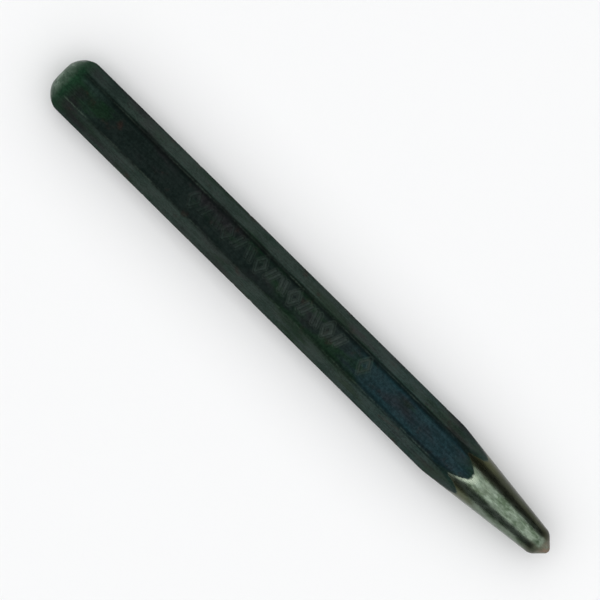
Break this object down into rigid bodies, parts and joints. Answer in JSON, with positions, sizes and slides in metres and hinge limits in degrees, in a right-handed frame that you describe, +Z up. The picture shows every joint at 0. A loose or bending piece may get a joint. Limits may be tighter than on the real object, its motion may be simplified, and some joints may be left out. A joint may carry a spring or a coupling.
{
  "type": "center punch",
  "caption": "Solid hexagonal steel center punch with a crowned struck end, a round ground taper and a right-angled conical point for marking hole centres.",
  "frame": {"origin": "the working point: where the rounded tip of the point meets the tool's long axis", "axes": "+X runs along the tool and out of the point, so the struck end is at -X; +Z is up with the punch lying on one flat of its shank and the marked flat on top; two corners of the hexagon point along +Y and -Y"},
  "size_m": [0.12, 0.0108, 0.0096],
  "materials": {
    "blackened_steel": "satin"
  },
  "bodies": {
    "root": {"punch_bar": "blackened_steel"}
  },
  "joints": []
}
